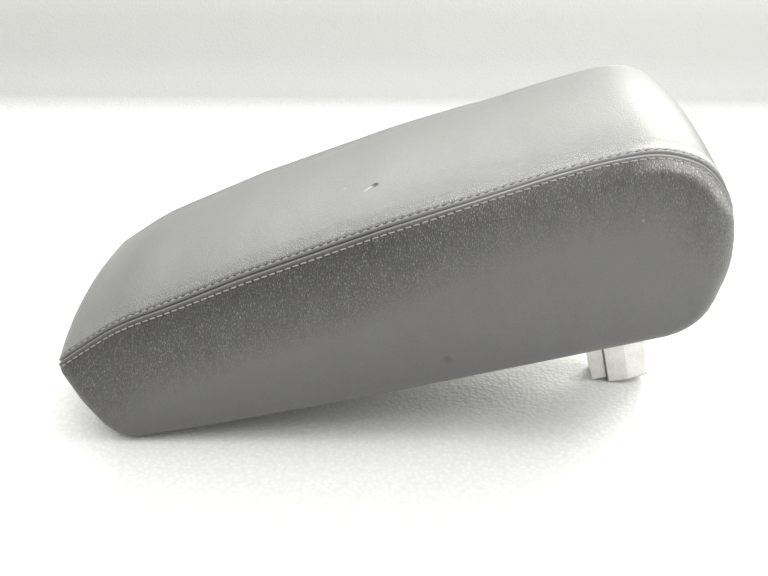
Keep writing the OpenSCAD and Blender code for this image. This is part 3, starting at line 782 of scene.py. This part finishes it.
patch = ((1 - t) * near_edge[None] + t * far_edge[None]
         + (1 - s) * front_edge[:, None] + s * rear_edge[:, None]
         - (1 - s) * (1 - t) * near_edge[0] - s * (1 - t) * near_edge[-1]
         - (1 - s) * t * far_edge[0] - s * t * far_edge[-1])
for _ in range(6):
    patch[1:-1, 1:-1] = (patch[1:-1, :-2] + patch[1:-1, 2:] + patch[:-2, 1:-1] + patch[2:, 1:-1]) / 4
    patch[1:-1, 1:-1] = settled(patch[1:-1, 1:-1].reshape(-1, 3), turns=2)[0].reshape(
        cross_side - 1, long_side - 1, 3)
flat_patch, patch_out = settled(patch.reshape(-1, 3), turns=3)
flat_patch = finished(flat_patch, patch_out, off_seam(flat_patch), ANY_PHASE, 1)
inner_done = finished(inner_next, inner_out, off_seam(inner_next), ANY_PHASE, 1)
whole = flat_patch.reshape(cross_side + 1, long_side + 1, 3)
k = np.arange(long_side + 1)
whole[0], whole[-1] = inner_done[nose_corner + k], inner_done[(COARSE - nose_corner - k) % COARSE]
k = np.arange(cross_side + 1)
whole[:, 0] = inner_done[(nose_corner - k) % COARSE]
whole[:, -1] = inner_done[(COARSE // 2 - nose_corner + k) % COARSE]
bm = bmesh.new()
closed_strip(bm, sewn_top)
narrowed = inner_done[(np.arange(FINE) + 1) // 2 % COARSE]
closed_strip(bm, [sewn_top[-1], narrowed])
made = bmesh.ops.create_grid(bm, x_segments=long_side, y_segments=cross_side, size=1)["verts"]
for v, p in zip(made, whole.reshape(-1, 3)):
    v.co = p / 1000
outward(bm)
CUT_EDGE = 0.0012
folded_in(bm, CUT_EDGE)
top_leather = to_object(bm, "top_leather")

# Side band
# The lower panel of the cover: both sides, the nose and the back in one band, pulled round the
# lower edge and glued under it in a hem. It is cut out at the back for the post's slot.
HEM_HALF, SLOT_HALF, SLOT_TOP, LOW_TUCK = 55.0, 19.3, 105.46, 6
low_rows, low_outs = grown_rows(-1)
sewn_low = [finished(p, n, np.full(FINE, d), phase, -1) for p, n, d in zip(low_rows, low_outs, ROWS)]
chin_arc, rear_arc = corner_arc(0), corner_arc(9)
chin_run = run_of(*chin_arc[len(chin_arc) // 2])
rear_run = run_of(*rear_arc[len(rear_arc) // 2])
hem_front = (run_of(*chin_arc[0]) + rim_length / 2) % rim_length - rim_length / 2
hem_rear = run_of(*rear_arc[-1])


def low_reach(run):
    """How far across the surface the middle of the rounded edge lies."""
    r = rim_value(run / rim_step, edge_round)
    return HALF_WIDTH - r + r * math.pi / 4


low_edge = spaced(rounded_loop(-chin_run, rim_length - rear_run, low_reach, 9.0, 18.0, -1), COARSE)[0]
hem_edge = spaced(rounded_loop(-hem_front, rim_length - hem_rear, lambda r: 0 * r + HEM_HALF, 3.0, 3.0, -1),
                  COARSE)[0]


def matched(loop, corner):
    """The loop's points, shared out so that its corners meet the corners of the seam."""
    path = np.vstack([loop, loop[:1]])
    run = run_along(path)
    marks = [0, corner, run[-1] / 2 - corner, run[-1] / 2 + corner, run[-1] - corner, run[-1]]
    ids = [0, nose_corner, COARSE // 2 - nose_corner, COARSE // 2 + nose_corner, COARSE - nose_corner, COARSE]
    at = np.interp(np.arange(COARSE), ids, marks)
    return np.stack([np.interp(at, run, path[:, k]) for k in range(3)], 1)


low_edge, hem_edge = matched(low_edge, HALF_WIDTH - LOW_TUCK), matched(hem_edge, HEM_HALF)
start = low_rows[-1][::2]
SIDE_ROWS, HEM_ROWS = 40, 12
band = [start + (low_edge - start) * k / SIDE_ROWS for k in range(1, SIDE_ROWS)]
band += [low_edge + (hem_edge - low_edge) * k / HEM_ROWS for k in range(HEM_ROWS + 1)]
for _ in range(8):
    smooth = [band[0]] + [(a + b + np.roll(c, 1, 0) + np.roll(c, -1, 0)) / 4
                          for a, b, c in zip(band, band[2:], band[1:-1])] + [band[-1]]
    band = list(settled(np.vstack(smooth), turns=2)[0].reshape(len(band), COARSE, 3))
stacked, stacked_out = settled(np.vstack(band), turns=4)
done = finished(stacked, stacked_out, off_seam(stacked), ANY_PHASE, -1)
done = done.reshape(len(band), COARSE, 3)
bm = bmesh.new()
closed_strip(bm, sewn_low)
closed_strip(bm, [sewn_low[-1], done[0][(np.arange(FINE) + 1) // 2 % COARSE]])
closed_strip(bm, list(done))
outward(bm)


def faces_at_back(bm, half, top):
    """The band's faces behind the core's middle, within a half width and under a height."""
    centres = [(f, f.calc_center_median()) for f in bm.faces]
    return [f for f, c in centres if c.x > -0.02 and abs(c.y) < half and c.z < top]


for co, no in (((0, SLOT_HALF, 0), (0, 1, 0)), ((0, -SLOT_HALF, 0), (0, 1, 0)),
               ((0, 0, SLOT_TOP), (0, 0, 1))):
    near_slot = faces_at_back(bm, 0.03, 1)
    cut = [*{e for f in near_slot for e in f.edges}, *{v for f in near_slot for v in f.verts}, *near_slot]
    bmesh.ops.bisect_plane(bm, geom=cut, plane_co=Vector(co) / 1000, plane_no=no, dist=1e-6)
slot_faces = faces_at_back(bm, SLOT_HALF / 1000, SLOT_TOP / 1000)
bmesh.ops.delete(bm, geom=slot_faces, context="FACES")
folded_in(bm, CUT_EDGE)
side_leather = to_object(bm, "side_leather")

sewn = (sewn_top[0] + sewn_low[0]) / 2
sewn_share = {sign: narrowing(seam, sign) for sign in (1, -1)}
sewn_tree = kdtree.KDTree(FINE)
for i, point in enumerate(sewn):
    sewn_tree.insert(point, i)
sewn_tree.balance()
for piece, sign, node, slot in ((top_leather, 1, "top_panel", "leather_top"),
                                (side_leather, -1, "side_band", "leather_side")):
    record_seam_place(piece, sign)
    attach(piece, "armrest")
    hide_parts(node)
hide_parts("foam_pad")

# Leather finish
# Satin-finished leather, with painted light and shade beside the seam. The seam's stops give shares of
# its tone at distances from the seam, at the front and at the rear: painted highlights on the seam's
# lips, and painted shade in its grooves and below the stitches. marks are specks and dents: a place, a
# reach, a depth as a share of the bump's own, and how much lighter the leather is there; at the dents
# that is painted light and shade on their walls. Lengths are millimetres.
SEAM_LIGHT_REACH = 20.0
HOLE_REACH = 0.5
PEBBLE_STRETCH = (1.35, 0.5, 0.5)


def leather(name, tone, rough, shine, stitch_off, reach, gain, seam_light_stops, marks):
    """Grained, satin-finished leather: fine pebbles, creases between them and stitch holes."""
    material, tree, shader = new_material(name)

    def times(value, factor):
        return math_node(tree, "MULTIPLY", value, factor)

    spot = add_node(tree, "ShaderNodeAttribute", attribute_name="seam_place")
    split = add_node(tree, "ShaderNodeSeparateXYZ")
    tree.links.new(spot.outputs["Vector"], split.inputs["Vector"])
    along, off, rear = split.outputs["X"], split.outputs["Y"], split.outputs["Z"]
    # The share of the painted highlight at the rear corners.
    corner_highlight = math_node(tree, "SUBTRACT", rear, 1.0, clamp=True)

    # Pebbles, and the wandering creases between them, are strongest near the seam.
    near = math_node(tree, "SUBTRACT", 1.3, math_node(tree, "DIVIDE", off, reach), clamp=True)
    vector = object_place(tree, PEBBLE_STRETCH)
    wander = textured(tree, "ShaderNodeTexNoise", vector, {"Scale": 420.0, "Detail": 2.0})
    shift = add_node(tree, "ShaderNodeVectorMath", {"Scale": 0.0012}, operation="SCALE")
    tree.links.new(wander.outputs["Color"], shift.inputs[0])
    moved = add_node(tree, "ShaderNodeVectorMath", operation="ADD")
    tree.links.new(vector, moved.inputs[0])
    tree.links.new(shift.outputs["Vector"], moved.inputs[1])
    pebbles = textured(tree, "ShaderNodeTexVoronoi", moved.outputs["Vector"], {"Scale": 960.0},
                       feature="DISTANCE_TO_EDGE")
    dome = add_node(tree, "ShaderNodeMapRange", {"From Min": 0.0, "From Max": 0.34},
                    interpolation_type="SMOOTHSTEP")
    tree.links.new(pebbles.outputs["Distance"], dome.inputs["Value"])
    creases = textured(tree, "ShaderNodeTexNoise", vector, {"Scale": 300.0, "Detail": 3.0, "Roughness": 0.6})
    broad = textured(tree, "ShaderNodeTexNoise", vector, {"Scale": 28.0, "Detail": 3.0})
    grain = math_node(tree, "ADD", times(dome.outputs["Result"], 0.75), times(creases.outputs["Fac"], 0.6))
    pulled = ramp(tree, math_node(tree, "DIVIDE", off, 5.0), [(0.45, (0.25,)), (0.8, (1.0,))])
    calmer = math_node(tree, "SUBTRACT", 1.0, times(math_node(tree, "MINIMUM", rear, 1.0), 0.45))
    contrast = math_node(tree, "ADD", times(math_node(tree, "MULTIPLY", near, calmer), gain), 0.22)
    contrast = math_node(tree, "MULTIPLY", contrast, pulled.outputs["Color"])
    peak = max(share for _, _, share in seam_light_stops)
    uneven = math_node(tree, "ADD", times(times(math_node(tree, "SUBTRACT", grain, 0.75), contrast), 0.62),
                       times(broad.outputs["Fac"], 0.12))
    colour = ramp(tree, math_node(tree, "ADD", uneven, 0.44),
                  [(0.1, [c * 0.55 * peak for c in tone]), (0.5, [c * peak for c in tone]),
                   (0.9, [c * 1.38 * peak for c in tone])])

    # A needle hole lies between two stitches of the panel's own row, and is painted dark as shade.
    turn = math_node(tree, "FRACT", math_node(tree, "DIVIDE", along, SEAM_LENGTH / STITCHES))
    from_hole = times(math_node(tree, "PINGPONG", turn, 0.5), SEAM_LENGTH / STITCHES)
    from_row = math_node(tree, "SUBTRACT", off, stitch_off)
    squares = math_node(tree, "ADD", math_node(tree, "POWER", from_hole, 2.0),
                        math_node(tree, "POWER", from_row, 2.0))
    hole = math_node(tree, "SUBTRACT", 1.0, math_node(
        tree, "DIVIDE", math_node(tree, "SQRT", squares), HOLE_REACH), clamp=True)

    # Painted highlights make the lips of the seam pale, and painted shade makes the grooves beside them dark.
    far_off = math_node(tree, "DIVIDE", off, SEAM_LIGHT_REACH)
    seam_painted_light = add_node(tree, "ShaderNodeMix", data_type="RGBA")
    tree.links.new(rear, seam_painted_light.inputs[MIX_SHARE])
    for socket, column in ((MIX_FIRST, 1), (MIX_SECOND, 2)):
        shaded = ramp(tree, far_off, [(stop[0] / SEAM_LIGHT_REACH, (stop[column] / peak,)) for stop in seam_light_stops])
        tree.links.new(shaded.outputs["Color"], seam_painted_light.inputs[socket])

    # Painted shade makes the side darker towards its lower edge, and the marks lie over all of that.
    marked = add_node(tree, "ShaderNodeTexCoord")
    height = add_node(tree, "ShaderNodeSeparateXYZ")
    tree.links.new(marked.outputs["Object"], height.inputs["Vector"])
    painted_low_shade = add_node(tree, "ShaderNodeMapRange",
                     {"From Min": 0.060, "From Max": 0.105, "To Min": 0.80, "To Max": 1.0},
                     interpolation_type="SMOOTHSTEP")
    tree.links.new(height.outputs["Z"], painted_low_shade.inputs["Value"])
    dent, painted_light_and_marks = None, painted_low_shade.outputs["Result"]
    # Each mark's lighter share raises or lowers the tone: at the dents this is painted light and shade on
    # their walls.
    for x, y, z, span, depth, lighter in marks:
        away = add_node(tree, "ShaderNodeVectorMath", operation="DISTANCE")
        tree.links.new(marked.outputs["Object"], away.inputs[0])
        away.inputs[1].default_value = (x / 1000, y / 1000, z / 1000)
        pit = add_node(tree, "ShaderNodeMapRange",
                       {"From Min": 0.0, "From Max": span / 1000, "To Min": 1.0, "To Max": 0.0},
                       interpolation_type="SMOOTHSTEP")
        tree.links.new(away.outputs["Value"], pit.inputs["Value"])
        painted_light_and_marks = math_node(tree, "ADD", times(pit.outputs["Result"], lighter), painted_light_and_marks)
        pit = times(pit.outputs["Result"], depth)
        dent = pit if dent is None else math_node(tree, "ADD", dent, pit)
    # Painted shade: the needle holes are darkened.
    dark = add_node(tree, "ShaderNodeMix", data_type="RGBA")
    dark.inputs[MIX_SECOND].default_value = (0.02, 0.02, 0.02, 1)
    tree.links.new(colour.outputs["Color"], dark.inputs[MIX_FIRST])
    hole_shade = 1.3 if stitch_off == TOP_STITCH else 0.45
    tree.links.new(math_node(tree, "MULTIPLY", hole, hole_shade, clamp=True), dark.inputs[MIX_SHARE])
    # The needle holes' painted shade and the seam's painted light and shade, together.
    seam_painted_tone = add_node(tree, "ShaderNodeVectorMath", operation="MULTIPLY")
    tree.links.new(dark.outputs[MIX_RESULT], seam_painted_tone.inputs[0])
    tree.links.new(seam_painted_light.outputs[MIX_RESULT], seam_painted_tone.inputs[1])
    # Painted highlight: the tone is raised at the rear corners.
    painted_light_and_marks = math_node(tree, "ADD", painted_light_and_marks, times(corner_highlight, 2.0))
    painted_light_and_marks_tone = add_node(tree, "ShaderNodeVectorMath", operation="SCALE")
    tree.links.new(seam_painted_tone.outputs["Vector"], painted_light_and_marks_tone.inputs[0])
    tree.links.new(painted_light_and_marks, painted_light_and_marks_tone.inputs["Scale"])
    tree.links.new(painted_light_and_marks_tone.outputs["Vector"], shader.inputs["Base Color"])
    worn = ramp(tree, broad.outputs["Fac"], [(0.3, (rough + 0.03,)), (0.7, (rough - 0.03,))])
    smoother = math_node(tree, "SUBTRACT", worn.outputs["Color"], times(corner_highlight, 0.14))
    tree.links.new(smoother, shader.inputs["Roughness"])
    shader.inputs["Specular IOR Level"].default_value = shine
    deep = math_node(tree, "SUBTRACT", times(grain, contrast), times(hole, 2.0))
    deep = math_node(tree, "SUBTRACT", deep, dent)
    bumped(tree, shader, deep, 1.0, 0.0003)
    return material


# The dents' lighter and darker shares are painted light and shade on their walls.
top_leather.data.materials.append(leather(
    "leather_top", (0.164, 0.163, 0.156), 0.41, 0.59, TOP_STITCH, 17.0, 0.8,
    [(0, 0.6, 1.1), (0.4, 0.7, 1.2), (0.8, 0.85, 1.35), (1.5, 1.0, 1.35), (2.5, 0.72, 0.95),
     (3.3, 0.72, 0.85), (5.0, 0.93, 1.0), (8.0, 1.0, 1.0)],
    [(-115.6, -28.4, 158.6, 2.0, 0.8, 1.4), (-113.6, -27.2, 158.8, 2.2, 1.6, 1.8),
     (-111.0, -26.4, 159.1, 2.6, 3.5, -0.7), (-127.4, -18.7, 157.4, 1.2, 0, 0.9)]))
# The side band's tone is set a little darker than the top panel's, as painted shade.
side_leather.data.materials.append(leather(
    "leather_side", (0.1455, 0.1435, 0.1415), 0.42, 0.5, LOW_STITCH, 36.0, 2.3,
    [(0, 0.6, 1.1), (0.6, 0.8, 1.4), (1.05, 1.2, 2.3), (1.4, 2.1, 2.9), (1.75, 1.2, 2.3), (2.2, 0.6, 1.15),
     (3.6, 0.62, 1.0), (4.8, 0.68, 0.98), (7.0, 0.74, 1.0), (11.0, 0.88, 1.0), (18.0, 1.0, 1.0)],
    [(-93.0, -70.4, 76.9, 3.6, 4, -0.1), (10.4, -70.4, 132.5, 1.2, 0, 1.0)]))

# Stitching
# Two rows of thick light grey thread, one on each side of the seam, six to seven millimetres
# apart. Each stitch lies on the leather between two holes and dips into both.
THREAD_RADIUS, THREAD_LIFT, THREAD_DIP = 0.36, 0.16, 0.55


def stitch_row(name, sewn_rows, sign, off, shown, slant):
    """One row of stitches, each shown for a length between its holes and a little turned."""
    place = ROWS.index(off)
    row = sewn_rows[place]
    outs = (top_outs if sign > 0 else low_outs)[place]
    bm = bmesh.new()
    bmesh.ops.create_uvsphere(bm, u_segments=6, v_segments=7, radius=1,
                              matrix=Matrix.Rotation(math.pi / 2, 4, "Y"))
    single = bpy.data.meshes.new("stitch")
    bm.to_mesh(single)
    x, y, z = co_of(single).T
    slim = THREAD_RADIUS * (1 - np.abs(x) ** 5).clip(0) ** 0.3 / np.sqrt(1 - x * x).clip(0.2)
    shape = np.stack([x * shown / 2, y * slim, z * slim * 0.9 + THREAD_LIFT - THREAD_DIP * np.abs(x) ** 3], 1)
    bm.clear()
    for number in range(STITCHES):
        k = number * STITCH_POINTS + STITCH_POINTS // 2
        middle = (row[(k - 2) % FINE] + row[(k + 2) % FINE] + row[k]) / 3
        along = Vector(row[(k + 2) % FINE] - row[(k - 2) % FINE]).normalized()
        out = Vector(outs[k])
        out = (out - along * out.dot(along)).normalized()
        along = (along + out.cross(along) * slant).normalized()
        turn = np.array((along, out.cross(along), out))
        single.vertices.foreach_set("co", ((middle + shape @ turn) / 1000).ravel())
        bm.from_mesh(single)
    bpy.data.meshes.remove(single)
    bmesh.ops.recalc_face_normals(bm, faces=bm.faces)
    obj = to_object(bm, name)
    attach(obj, "armrest")
    return obj


upper_thread = stitch_row("upper_stitches", sewn_top, 1, TOP_STITCH, 2.7, 0.16)
lower_thread = stitch_row("lower_stitches", sewn_low, -1, LOW_STITCH, 3.65, -0.05)
thread = speckled("thread", (0.29, 0.275, 0.255), (0.42, 0.40, 0.37), 0.0, 0.6, 4000, 0.8)
for piece in (upper_thread, lower_thread):
    piece.data.materials.append(thread)
